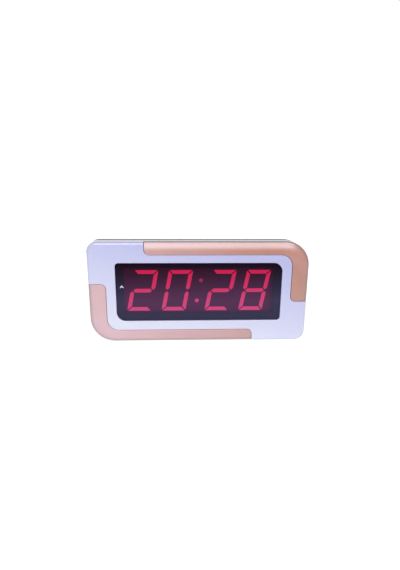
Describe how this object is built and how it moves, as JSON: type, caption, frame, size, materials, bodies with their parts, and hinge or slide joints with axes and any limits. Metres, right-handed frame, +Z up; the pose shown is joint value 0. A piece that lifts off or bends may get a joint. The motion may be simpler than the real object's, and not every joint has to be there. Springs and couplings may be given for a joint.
{
  "type": "digital desk clock",
  "caption": "Wide table clock with red seven-segment figures behind a smoked window, a silver front with copper corner trims, keys on a sloping top deck and a rear battery bay.",
  "frame": {"origin": "on the table, under the middle of the clock's outer box", "axes": "+X to the right seen from the front, +Y from the front to the rear, +Z up"},
  "size_m": [0.2008, 0.047, 0.0952],
  "materials": {
    "silver_plastic": "satin silver-lilac lacquer on moulded plastic",
    "copper_trim": "pale copper lacquer on moulded plastic",
    "smoked_acrylic": "polished smoked acrylic",
    "charcoal_plastic": "fine-grained charcoal moulding",
    "key_plastic": "satin grey moulding",
    "black_plastic": "matt black moulding",
    "red_diffuser": "translucent red resin, lit from behind",
    "foot_rubber": "soft black rubber",
    "screw_steel": "zinc-plated steel",
    "contact_steel": "nickel-plated sheet steel",
    "circuit_board": "green lacquered circuit board",
    "chip_epoxy": "black epoxy",
    "cell_jacket": "plain copper-coloured jacket",
    "speaker_paper": "pressed dark paper",
    "nut_brass": "turned brass",
    "lead_jacket": "grey vinyl"
  },
  "bodies": {
    "case": {"front_shell": "silver_plastic", "upper_trim": "copper_trim", "lower_trim": "copper_trim", "window_lens": "smoked_acrylic", "rear_cover": "charcoal_plastic", "case_screw_1": "screw_steel", "case_screw_2": "screw_steel", "case_screw_3": "screw_steel", "case_screw_4": "screw_steel", "front_foot_left": "foot_rubber", "front_foot_right": "foot_rubber", "rear_foot_left": "foot_rubber", "rear_foot_right": "foot_rubber", "display_bracket": "black_plastic", "display_reflector": "black_plastic", "digit_hour_tens": "red_diffuser", "digit_hour_units": "red_diffuser", "digit_minute_tens": "red_diffuser", "digit_minute_units": "red_diffuser", "colon_dots": "red_diffuser", "display_board": "circuit_board", "clock_chip": "chip_epoxy", "timing_crystal": "screw_steel", "filter_capacitor": "chip_epoxy", "bracket_screw_1": "screw_steel", "bracket_screw_2": "screw_steel", "snooze_switch": "black_plastic", "time_switch": "black_plastic", "alarm_switch": "black_plastic", "hour_switch": "black_plastic", "minute_switch": "black_plastic", "key_board": "circuit_board", "backup_cell_1": "cell_jacket", "backup_cell_2": "cell_jacket", "negative_contact": "contact_steel", "positive_contact": "contact_steel", "bridge_contact": "contact_steel", "speaker_basket": "contact_steel", "speaker_cone": "speaker_paper", "power_socket": "black_plastic", "socket_nut": "nut_brass", "slide_switch": "contact_steel", "speaker_lead": "lead_jacket", "battery_lead": "lead_jacket", "power_lead": "lead_jacket", "ribbon_cable": "lead_jacket"},
    "snooze_key": {"snooze_bar": "key_plastic", "snooze_plunger": "black_plastic"},
    "time_key": {"time_button": "key_plastic", "time_plunger": "black_plastic"},
    "alarm_key": {"alarm_button": "key_plastic", "alarm_plunger": "black_plastic"},
    "hour_key": {"hour_button": "key_plastic", "hour_plunger": "black_plastic"},
    "minute_key": {"minute_button": "key_plastic", "minute_plunger": "black_plastic"},
    "alarm_slide": {"slide_knob": "key_plastic"},
    "door": {"battery_door": "charcoal_plastic"}
  },
  "joints": [
    {"name": "snooze_press", "type": "slide", "parent": "case", "child": "snooze_key", "axis": [0, -0.4051, -0.9143], "range_m": [0, 0.0007], "stiffness_N_per_m": 900, "springref_m": -0.0008},
    {"name": "time_press", "type": "slide", "parent": "case", "child": "time_key", "axis": [0, -0.4051, -0.9143], "range_m": [0, 0.0007], "stiffness_N_per_m": 900, "springref_m": -0.0008},
    {"name": "alarm_press", "type": "slide", "parent": "case", "child": "alarm_key", "axis": [0, -0.4051, -0.9143], "range_m": [0, 0.0007], "stiffness_N_per_m": 900, "springref_m": -0.0008},
    {"name": "hour_press", "type": "slide", "parent": "case", "child": "hour_key", "axis": [0, -0.4051, -0.9143], "range_m": [0, 0.0007], "stiffness_N_per_m": 900, "springref_m": -0.0008},
    {"name": "minute_press", "type": "slide", "parent": "case", "child": "minute_key", "axis": [0, -0.4051, -0.9143], "range_m": [0, 0.0007], "stiffness_N_per_m": 900, "springref_m": -0.0008},
    {"name": "alarm_slide_move", "type": "slide", "parent": "case", "child": "alarm_slide", "axis": [1, 0, 0], "range_m": [0, 0.004]},
    {"name": "door_hinge", "type": "hinge", "parent": "case", "child": "door", "pos_m": [0, 0.0219, 0.0109], "axis": [-1, 0, 0], "range_deg": [0, 80]}
  ]
}
